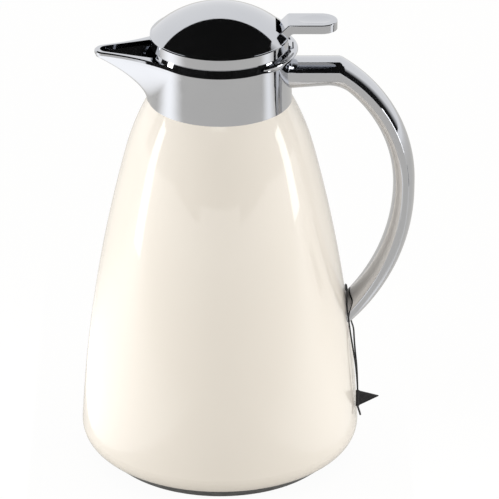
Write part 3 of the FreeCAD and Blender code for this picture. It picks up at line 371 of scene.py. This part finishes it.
def wire(face, links):
    """Links what varies over the piece into its shader."""
    for socket, source in links.items():
        face.id_data.links.new(source, face.inputs[socket])


def cloud(tree, scale, detail=2.0, stretch=(1, 1, 1)):
    """Noise on the piece's own coordinates, so many lumps a metre; stretch packs them along an axis."""
    packed = add_node(tree, "Mapping", {"Scale": stretch}, {"Vector": own_place(tree)})
    noise = add_node(
        tree, "TexNoise", {"Scale": scale, "Detail": detail}, {"Vector": packed.outputs["Vector"]}
    )
    return noise.outputs["Fac"]


def between(tree, value, low, high):
    """Spreads a noise value over a range, such as that of a gloss."""
    spread = add_node(
        tree,
        "MapRange",
        {"From Min": NOISE_LOW, "From Max": NOISE_HIGH, "To Min": low, "To Max": high},
        {"Value": value},
    )
    return spread.outputs["Result"]


def tint(tree, value, first, second):
    """A colour that goes from the first to the second with a noise value."""
    ramp = add_node(tree, "ValToRGB", {}, {"Fac": value})
    stops = ramp.color_ramp.elements
    for stop, position, colour in zip(stops, (NOISE_LOW, NOISE_HIGH), (first, second)):
        stop.position = position
        stop.color = (*colour, 1)
    return ramp.outputs["Color"]


def relief(tree, height, depth):
    """The bumped normal of a relief of that depth in metres."""
    return add_node(tree, "Bump", {"Distance": depth}, {"Height": height}).outputs["Normal"]


def dress(material, *names):
    """Gives CAD nodes their finish."""
    for name in names:
        mesh = nodes[name].data
        mesh.materials.clear()
        mesh.materials.append(material)


lacquer, lacquer_tree, lacquer_face = new_finish(
    "cream_lacquer", {"Coat Weight": 1.0, "Coat Roughness": 0.025, "Coat IOR": 1.5, "Specular IOR Level": 0.3}
)
lacquer_drift = cloud(lacquer_tree, 14.0)
lacquer_links = {
    "Base Color": tint(lacquer_tree, lacquer_drift, (0.836, 0.776, 0.688), (0.844, 0.784, 0.696)),
    "Roughness": between(lacquer_tree, cloud(lacquer_tree, 700.0), 0.3, 0.34),
    "Coat Normal": relief(lacquer_tree, cloud(lacquer_tree, 420.0), 0.000003),
}
wire(lacquer_face, lacquer_links)
dress(lacquer, "body_shell")

# Base: a ring snapped into the shell's lower flange, and the plug screwed into the ring.
# Both are moulded in black plastic with the fine spark grain of the mould.
grained_plastic, grained_tree, grained_face = new_finish("grained_black_plastic", {"Specular IOR Level": 0.5})
grained_links = {
    "Base Color": tint(grained_tree, cloud(grained_tree, 60.0), (0.02, 0.02, 0.021), (0.028, 0.028, 0.029)),
    "Roughness": between(grained_tree, cloud(grained_tree, 300.0, 4.0), 0.34, 0.5),
    "Normal": relief(grained_tree, cloud(grained_tree, 3200.0), 0.00003),
}
wire(grained_face, grained_links)
dress(grained_plastic, "base_ring", "base_plug")

# Foot ring: the soft black rubber ring on which the jug stands, pressed into a groove of the plug.
# Rubber is dull, with pale dusty patches where it has stood.
black_rubber, black_rubber_tree, black_rubber_face = new_finish("black_rubber", {"Specular IOR Level": 0.35})
black_rubber_links = {
    "Base Color": tint(
        black_rubber_tree, cloud(black_rubber_tree, 110.0, 5.0), (0.022, 0.022, 0.023), (0.045, 0.045, 0.045)
    ),
    "Roughness": between(black_rubber_tree, cloud(black_rubber_tree, 250.0), 0.68, 0.85),
    "Normal": relief(black_rubber_tree, cloud(black_rubber_tree, 1800.0, 4.0), 0.00005),
}
wire(black_rubber_face, black_rubber_links)
dress(black_rubber, "foot_ring")

# Liner cushion, spacers and neck gasket: moulded from pale rubber, they hold the glass without a hard edge.
# The cushion sits in the plug, the spacers between the two glasses and the gasket on the liner's lip.
pale_rubber, pale_rubber_tree, pale_rubber_face = new_finish("pale_rubber", {"Specular IOR Level": 0.35})
pale_rubber_links = {
    "Base Color": tint(
        pale_rubber_tree, cloud(pale_rubber_tree, 80.0, 4.0), (0.36, 0.35, 0.31), (0.44, 0.43, 0.4)
    ),
    "Roughness": between(pale_rubber_tree, cloud(pale_rubber_tree, 220.0), 0.6, 0.78),
    "Normal": relief(pale_rubber_tree, cloud(pale_rubber_tree, 1500.0, 4.0), 0.00004),
}
wire(pale_rubber_face, pale_rubber_links)
dress(pale_rubber, "liner_cushion", "liner_spacers", "neck_gasket")

# Vacuum liner: two blown glasses melted together at the lip, silvered on the sides that face each other.
# The silver shines through the glass, with the slow waves of blowing and faint upright runs in the coating.
silvered, silvered_tree, silvered_face = new_finish(
    "silvered_glass", {"Metallic": 1.0, "Coat Weight": 1.0, "Coat Roughness": 0.01, "Coat IOR": 1.5}
)
silver_runs = cloud(silvered_tree, 160.0, 4.0, (1, 1, 0.12))
silvered_links = {
    "Base Color": tint(silvered_tree, silver_runs, (0.66, 0.66, 0.65), (0.76, 0.77, 0.78)),
    "Roughness": between(silvered_tree, silver_runs, 0.03, 0.12),
    "Normal": relief(silvered_tree, cloud(silvered_tree, 45.0), 0.0003),
}
wire(silvered_face, silvered_links)
dress(silvered, "liner_outer_glass", "liner_inner_glass")

# Neck: a threaded ring and its nut clamp the shell, and the funnel leads from the liner's mouth to the rim.
# They are moulded in smooth black plastic, a little streaked where it flowed.
smooth_plastic, smooth_tree, smooth_face = new_finish("smooth_black_plastic", {"Specular IOR Level": 0.5})
flow = cloud(smooth_tree, 70.0, 3.0, (1, 1, 0.3))
smooth_links = {
    "Base Color": tint(smooth_tree, flow, (0.016, 0.016, 0.017), (0.024, 0.024, 0.025)),
    "Roughness": between(smooth_tree, flow, 0.22, 0.36),
    "Normal": relief(smooth_tree, cloud(smooth_tree, 900.0, 3.0), 0.000015),
}
wire(smooth_face, smooth_links)
dress(smooth_plastic, "neck_ring", "clamp_nut", "pour_funnel")

# Collar: cast with its spout and the lip behind the lid, polished, chromed and screwed onto the neck ring.
# Plating follows the slight waves that polishing leaves, and fine hairlines take the edge off its gloss.
chrome, chrome_tree, chrome_face = new_finish("polished_chrome", {"Metallic": 1.0})
chrome_hairlines = cloud(chrome_tree, 500.0, 4.0, (1, 1, 0.08))
chrome_links = {
    "Base Color": tint(chrome_tree, cloud(chrome_tree, 30.0), (0.575, 0.588, 0.62), (0.6, 0.612, 0.642)),
    "Roughness": between(chrome_tree, chrome_hairlines, 0.03, 0.07),
    "Normal": relief(chrome_tree, cloud(chrome_tree, 55.0, 1.0), 0.00003),
}
wire(chrome_face, chrome_links)
dress(chrome, "collar")

# Hinge pin: a turned steel pin, pressed into the boss behind the rim; the lid's knuckle turns on it.
# Steel is left plain, with the rings of the lathe round it and a little duller where it is handled.
steel, steel_tree, steel_face = new_finish("plain_steel", {"Metallic": 1.0})
lathe_rings = cloud(steel_tree, 700.0, 3.0, (0.15, 1, 1))
steel_links = {
    "Base Color": tint(steel_tree, cloud(steel_tree, 200.0), (0.5, 0.5, 0.51), (0.58, 0.58, 0.59)),
    "Roughness": between(steel_tree, lathe_rings, 0.22, 0.4),
    "Normal": relief(steel_tree, lathe_rings, 0.00002),
}
wire(steel_face, steel_links)
dress(steel, "hinge_pin")

# Handle: a cast loop, chromed, with a crowned outer face, a crisp edge on each side and a round belly inside.
# Two screws hold it from inside the collar, and one holds its foot from inside the shell.
HANDLE_HALF = 0.0107
HANDLE_EDGE_HALF = 0.0106
HANDLE_SHOULDER = 0.0037
HANDLE_EDGE = 0.0004
HANDLE_BELLY = 0.0052
HANDLE_CHEEK = 0.009
HANDLE_ROOT = 0.034
HANDLE_FOOT = 0.062
HANDLE_CUT = 0.0653
HANDLE_MIDDLE = 0.151
HANDLE_TOP = 0.2213
HANDLE_UNDERSIDE = 0.2056
HANDLE_SIDE_LEDGE = 0.00003
HANDLE_SHARP = math.radians(35)
ARC_STEPS = 300
BEND_STEPS = 60
RUN_STEPS = (6, 10, 90)
CROWN_STEPS = 8
EDGE_STEPS = 4
BELLY_DEGREES = range(-6, 91, 6)
TINY = 1e-6


def sweep(hub, radius, start, end, count):
    """Points on an arc in the plane of the handle, from one angle to another."""
    angles = [start + (end - start) * step / count for step in range(count + 1)]
    return [hub + Vector((math.cos(angle), math.sin(angle))) * radius for angle in angles]


def handle_line(root, slope, bend, reach, upper, lower, straight):
    """One long side of the handle: its straight top, its bend, and its loop down to the foot."""
    upper_hub = Vector((reach - upper, HANDLE_MIDDLE + straight))
    lower_hub = Vector((reach - lower, HANDLE_MIDDLE - straight))
    heading = Vector((math.cos(slope), math.sin(slope)))
    over = Vector((-heading.y, heading.x))
    offset = root - over * bend - upper_hub
    along = offset.dot(heading)
    run = math.sqrt(along**2 - offset.dot(offset) + (upper - bend) ** 2) - along
    hub = upper_hub + offset + heading * run
    out = hub - upper_hub
    over_angle = math.atan2(over.y, over.x)
    out_angle = math.atan2(out.y, out.x)
    foot_angle = -math.acos((HANDLE_FOOT - lower_hub.x) / lower)
    loop = sweep(upper_hub, upper, out_angle, 0, ARC_STEPS)
    loop += sweep(lower_hub, lower, 0, foot_angle, ARC_STEPS)
    return [root, hub + over * bend], sweep(hub, bend, over_angle, out_angle, BEND_STEPS), loop


def even(points, count):
    """The same run of points at even distances."""
    lengths = [0.0]
    for first, second in zip(points, points[1:]):
        lengths.append(lengths[-1] + (second - first).length)
    spaced = []
    at = 0
    for step in range(count + 1):
        goal = lengths[-1] * step / count
        while at < len(points) - 2 and lengths[at + 1] < goal:
            at += 1
        gap = lengths[at + 1] - lengths[at]
        share = (goal - lengths[at]) / gap if gap > 0 else 0.0
        spaced.append(points[at].lerp(points[at + 1], share))
    return spaced


handle_outer = handle_line(
    Vector((HANDLE_ROOT, HANDLE_TOP)),
    slope=0,
    bend=0.0045,
    reach=0.0998,
    upper=0.079,
    lower=0.104,
    straight=0.0025,
)
handle_inner = handle_line(
    Vector((HANDLE_ROOT, HANDLE_UNDERSIDE)),
    slope=math.radians(5),
    bend=0.018,
    reach=0.0888,
    upper=0.071,
    lower=0.096,
    straight=0,
)
outer_points = []
inner_points = []
for outer_run, inner_run, count in zip(handle_outer, handle_inner, RUN_STEPS):
    skipped = 1 if outer_points else 0
    outer_points += even(outer_run, count)[skipped:]
    inner_points += even(inner_run, count)[skipped:]

crown = (HANDLE_EDGE_HALF**2 + HANDLE_SHOULDER**2) / (2 * HANDLE_SHOULDER)
edge_turn = math.acos(HANDLE_EDGE_HALF / crown)
edge_depth = HANDLE_SHOULDER + HANDLE_EDGE * math.tan(edge_turn / 2)
side_depth = edge_depth + HANDLE_SIDE_LEDGE
loop_mesh = bmesh.new()
rings = []
for place, (outer, inner) in enumerate(zip(outer_points, inner_points)):
    before = outer_points[max(place - 1, 0)]
    after = outer_points[min(place + 1, len(outer_points) - 1)]
    ahead = (after - before).normalized()
    inwards = Vector((ahead.y, -ahead.x))
    side_point = outer + inwards * side_depth
    depth = (inner - outer).length
    half = []
    for step in range(CROWN_STEPS + 1):
        y = (HANDLE_EDGE_HALF - HANDLE_EDGE) * step / CROWN_STEPS
        half.append((y, crown - math.sqrt(crown**2 - y**2)))
    for step in range(EDGE_STEPS + 1):
        angle = edge_turn * (1 - step / EDGE_STEPS)
        y = HANDLE_EDGE_HALF - HANDLE_EDGE * (1 - math.cos(angle))
        half.append((y, edge_depth - HANDLE_EDGE * math.sin(angle)))
    for degrees in BELLY_DEGREES:
        angle = math.radians(degrees)
        reach = HANDLE_CHEEK if angle < 0 else depth - HANDLE_BELLY
        half.append((HANDLE_HALF * math.cos(angle), HANDLE_BELLY + reach * math.sin(angle)))
    section = half + [(-y, deep) for y, deep in reversed(half[1:-1])]
    ring = []
    for y, deep in section:
        if deep <= side_depth:
            flat = outer + inwards * deep
        else:
            flat = side_point.lerp(inner, (deep - side_depth) / (depth - side_depth))
        ring.append(loop_mesh.verts.new((flat.x, y, flat.y)))
    rings.append(ring)
for ring, following in zip(rings, rings[1:]):
    for at in range(len(ring)):
        beside = (at + 1) % len(ring)
        loop_mesh.faces.new((ring[at], ring[beside], following[beside], following[at]))
loop_mesh.faces.new(rings[0])
loop_mesh.faces.new(rings[-1])
bmesh.ops.bisect_plane(
    loop_mesh,
    geom=[*loop_mesh.verts, *loop_mesh.edges, *loop_mesh.faces],
    plane_co=(HANDLE_CUT, 0, 0),
    plane_no=(1, 0, 0),
)
foot_corners = [v for v in loop_mesh.verts if v.co.x < HANDLE_CUT - TINY and v.co.z < HANDLE_MIDDLE]
bmesh.ops.delete(loop_mesh, geom=foot_corners, context="VERTS")
bmesh.ops.holes_fill(loop_mesh, edges=[edge for edge in loop_mesh.edges if edge.is_boundary])
bmesh.ops.recalc_face_normals(loop_mesh, faces=loop_mesh.faces)
for face in loop_mesh.faces:
    face.smooth = len(face.verts) <= 4
for edge in loop_mesh.edges:
    edge.smooth = edge.calc_face_angle(0) < HANDLE_SHARP
handle_loop = to_object("handle_loop", loop_mesh, chrome)
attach(handle_loop, "jug")
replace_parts(handle_loop, "handle")
dress(steel, "handle_top_screws", "handle_foot_screw")

# Lid: a chromed band with its floor, and the spun cap on it, drawn together by a steel stud.
# The band's knuckle hangs on the hinge pin, and the gap at its back lets the thumb lever out.
dress(chrome, "lid_base", "lid_dome")
dress(steel, "lid_stud")

# Lid insulation: a block of open-celled foam under the cap, cut out for the stud's boss and lever's tongue.
# It is cut a little full, so its top is crowned and its edges are pressed round.
foam, foam_tree, foam_face = new_finish("open_foam", {"Specular IOR Level": 0.15})
foam_grid = add_node(foam_tree, "TexVoronoi", {"Scale": 900.0}, {"Vector": own_place(foam_tree)})
foam_cells_and_pit_shade = foam_grid.outputs["Distance"]
# The colour follows the cells' relief and is darker where they dip: painted shade in the pits.
foam_links = {
    "Base Color": tint(foam_tree, foam_cells_and_pit_shade, (0.5, 0.48, 0.42), (0.76, 0.74, 0.68)),
    "Roughness": between(foam_tree, cloud(foam_tree, 150.0), 0.85, 0.98),
    "Normal": relief(foam_tree, foam_cells_and_pit_shade, 0.0005),
}
wire(foam_face, foam_links)
FOAM_STEPS = 48
FOAM_SHARP = math.radians(40)
FOAM_ROUND = 0.0008


def foam_block(name, profile, start, turn, node):
    """A foam piece spun from a profile of radius and height, with its edges pressed round."""
    block = bmesh.new()
    corners = [block.verts.new((radius, 0, height)) for radius, height in profile]
    side = block.faces.new(corners)
    bmesh.ops.rotate(block, verts=corners, matrix=Matrix.Rotation(start, 3, "Z"))
    whole = turn > 2 * math.pi - TINY
    bmesh.ops.spin(
        block,
        geom=[side, *side.edges, *side.verts],
        cent=(0, 0, 0),
        axis=(0, 0, 1),
        angle=turn,
        steps=FOAM_STEPS,
        use_merge=whole,
    )
    bmesh.ops.recalc_face_normals(block, faces=block.faces)
    sharp = [edge for edge in block.edges if edge.is_manifold and edge.calc_face_angle() > FOAM_SHARP]
    bmesh.ops.bevel(
        block,
        geom=sharp,
        affect="EDGES",
        offset=FOAM_ROUND,
        offset_type="OFFSET",
        segments=3,
        profile=0.5,
        material=-1,
        clamp_overlap=True,
    )
    for face in block.faces:
        face.smooth = True
    made = to_object(name, block, foam)
    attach(made, "lid")
    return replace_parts(made, node)


CAP_FOAM_EASE = 0.0003
CAP_FOAM_EDGE = 0.0028
CAP_FOAM_HOLE = 0.0056
CAP_FOAM_GAP = math.radians(38)
CAP_FOAM_STEPS = 6
cap_low, cap_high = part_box("lid_insulation")
cap_outside = cap_high[1] - CAP_FOAM_EASE
cap_floor = cap_low[2] + CAP_FOAM_EASE
cap_rise = cap_high[2] - CAP_FOAM_EASE - cap_floor - CAP_FOAM_EDGE
cap_profile = [(CAP_FOAM_HOLE, cap_floor), (cap_outside, cap_floor)]
for step in range(CAP_FOAM_STEPS + 1):
    radius = cap_outside + (CAP_FOAM_HOLE - cap_outside) * step / CAP_FOAM_STEPS
    swell = cap_rise * (1 - (radius / cap_outside) ** 2)
    cap_profile.append((radius, cap_floor + CAP_FOAM_EDGE + swell))
cap_turn = 2 * math.pi - 2 * CAP_FOAM_GAP
foam_block("cap_foam", cap_profile, CAP_FOAM_GAP, cap_turn, "lid_insulation")

# Stopper: a hollow plug moulded in smooth black plastic, screwed onto the stud under the lid.
# A ring of the same foam fills it, and a soft lip seal sits in the groove round its foot.
PLUG_FOAM_EASE = 0.0003
PLUG_FOAM_HOLE = 0.0056
PLUG_FOAM_WAIST = 0.0128
PLUG_FOAM_STEP = 0.0055
PLUG_FOAM_RIM = 0.0036
plug_low, plug_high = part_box("stopper_foam")
plug_rim = plug_high[2] - PLUG_FOAM_RIM
foam_block(
    "stopper_foam_ring",
    [
        (PLUG_FOAM_HOLE, plug_low[2] + PLUG_FOAM_EASE),
        (PLUG_FOAM_WAIST, plug_low[2] + PLUG_FOAM_EASE),
        (PLUG_FOAM_WAIST, plug_low[2] + PLUG_FOAM_STEP),
        (plug_high[0] - PLUG_FOAM_EASE, plug_rim),
        (plug_high[0] - PLUG_FOAM_EASE, plug_high[2] - PLUG_FOAM_EASE),
        (PLUG_FOAM_HOLE, plug_high[2] - PLUG_FOAM_EASE),
    ],
    0.0,
    2 * math.pi,
    "stopper_foam",
)
dress(smooth_plastic, "stopper")
dress(black_rubber, "lid_seal")

# Thumb lever: a bent flat bar, chromed, with a shallow hollow for the thumb.
# Its tongue lies on the lid's floor under the cap, held by two short screws from below.
dress(chrome, "thumb_lever")
dress(steel, "lever_screws")

# Tag: a small stiff three-cornered flag, hung on a loop of thin black cord round the handle's foot.
# The cord is twisted from two yarns; both its ends go through the flag's rolled hem and hang out below.
CORD_DIAMETER = 0.0009
CORD_ROUTE = [
    (0.0720, -0.0131, 0.0376),
    (0.0713, -0.0131, 0.0491),
    (0.0694, -0.0125, 0.0611),
    (0.0676, -0.0119, 0.0720),
    (0.0667, -0.0119, 0.0791),
    (0.0658, -0.0119, 0.0851),
    (0.0656, -0.0095, 0.0892),
    (0.0660, -0.0036, 0.0903),
    (0.0660, 0.0036, 0.0903),
    (0.0656, 0.0095, 0.0892),
    (0.0658, 0.0119, 0.0851),
    (0.0667, 0.0119, 0.0791),
    (0.0675, 0.0119, 0.0731),
    (0.0684, 0.0083, 0.0698),
    (0.0689, 0.0024, 0.0698),
    (0.0697, -0.0036, 0.0698),
    (0.0698, -0.0095, 0.0668),
    (0.0703, -0.0113, 0.0611),
    (0.0716, -0.0119, 0.0491),
    (0.0720, -0.0119, 0.0376),
]
yarn, yarn_tree, yarn_face = new_finish(
    "twisted_black_yarn", {"Specular IOR Level": 0.2, "Sheen Weight": 0.25, "Sheen Roughness": 0.5}
)
yarn_waves = {"Scale": 700.0, "Distortion": 1.5}
yarn_twist_and_groove_shade = add_node(yarn_tree, "TexWave", yarn_waves, {"Vector": own_place(yarn_tree)})
yarn_twist_and_groove_shade.bands_direction = "DIAGONAL"
# The colour follows the twist's relief and is darker in its grooves: painted shade between the yarns.
yarn_links = {
    "Base Color": tint(yarn_tree, yarn_twist_and_groove_shade.outputs["Fac"], (0.008, 0.008, 0.008), (0.026, 0.026, 0.027)),
    "Roughness": between(yarn_tree, cloud(yarn_tree, 900.0), 0.75, 0.95),
    "Normal": relief(yarn_tree, yarn_twist_and_groove_shade.outputs["Fac"], 0.0001),
}
wire(yarn_face, yarn_links)
cord_line = bpy.data.curves.new("tag_cord", "CURVE")
cord_line.dimensions = "3D"
cord_line.resolution_u = 10
cord_line.bevel_depth = CORD_DIAMETER / 2
cord_line.bevel_resolution = 3
cord_line.use_fill_caps = True
cord_spline = cord_line.splines.new("NURBS")
cord_spline.points.add(len(CORD_ROUTE) - 1)
for point, place in zip(cord_spline.points, CORD_ROUTE):
    point.co = (*place, 1)
cord_spline.order_u = 3
cord_spline.use_endpoint_u = True
cord_line.materials.append(yarn)
cord = bpy.data.objects.new("tag_cord", cord_line)
scene.collection.objects.link(cord)
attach(cord, "jug")
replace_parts(cord, "tag_string")

flag_cloth, flag_tree, flag_face = new_finish(
    "stiff_black_cloth", {"Specular IOR Level": 0.25, "Sheen Weight": 0.2, "Sheen Roughness": 0.5}
)
threads = {"Scale": 560.0, "Distortion": 0.6}
flag_place = own_place(flag_tree)
warp = add_node(flag_tree, "TexWave", threads, {"Vector": flag_place})
warp.bands_direction = "X"
weft = add_node(flag_tree, "TexWave", threads, {"Vector": flag_place})
weft.bands_direction = "Z"
weave_and_hollow_shade = work_out(flag_tree, "MULTIPLY", {}, {0: warp.outputs["Fac"], 1: weft.outputs["Fac"]})
# The colour follows the weave's relief and is darker where the threads dip: painted shade in the hollows.
flag_links = {
    "Base Color": tint(flag_tree, weave_and_hollow_shade, (0.016, 0.016, 0.017), (0.04, 0.04, 0.041)),
    "Roughness": between(flag_tree, cloud(flag_tree, 500.0), 0.7, 0.9),
    "Normal": relief(flag_tree, weave_and_hollow_shade, 0.00008),
}
wire(flag_face, flag_links)
dress(flag_cloth, "tag_flag")
